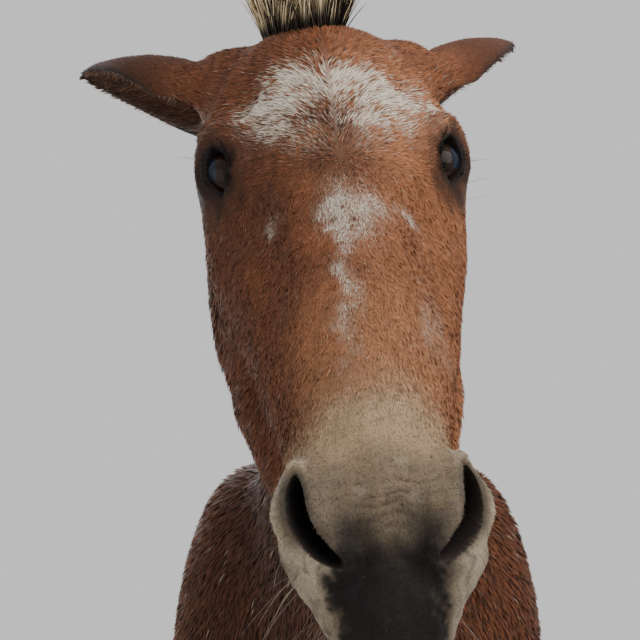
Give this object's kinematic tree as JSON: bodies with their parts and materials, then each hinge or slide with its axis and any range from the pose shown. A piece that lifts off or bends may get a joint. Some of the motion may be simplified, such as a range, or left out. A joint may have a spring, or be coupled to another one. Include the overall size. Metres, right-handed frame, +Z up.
{
  "type": "live mule standing",
  "caption": "Adult mule standing at rest with its head up, long ears turned out to the sides, upright mane and hanging tail.",
  "frame": {"origin": "middle of the bounding box on the ground between the feet", "axes": "+Z up, -Y the way the mule faces, +X its left side"},
  "size_m": [0.6032, 2.3266, 1.8641],
  "materials": {
    "coat": "matte winter coat",
    "dark_coat": "matte dark short hair",
    "ear_coat": "matte short hair with black rims",
    "long_hair": "coarse long hair, slight sheen",
    "horn": "satin hoof horn",
    "eye": "wet gloss"
  },
  "bodies": {
    "root": {"neck": "coat", "ear_right": "ear_coat", "ear_left": "ear_coat", "head": "coat", "eye_left": "eye", "eye_right": "eye", "torso": "coat", "foreleg_left": "dark_coat", "front_hoof_left": "horn", "foreleg_right": "dark_coat", "front_hoof_right": "horn", "hindleg_left": "dark_coat", "hind_hoof_left": "horn", "hindleg_right": "dark_coat", "hind_hoof_right": "horn", "tail": "long_hair"}
  },
  "joints": []
}
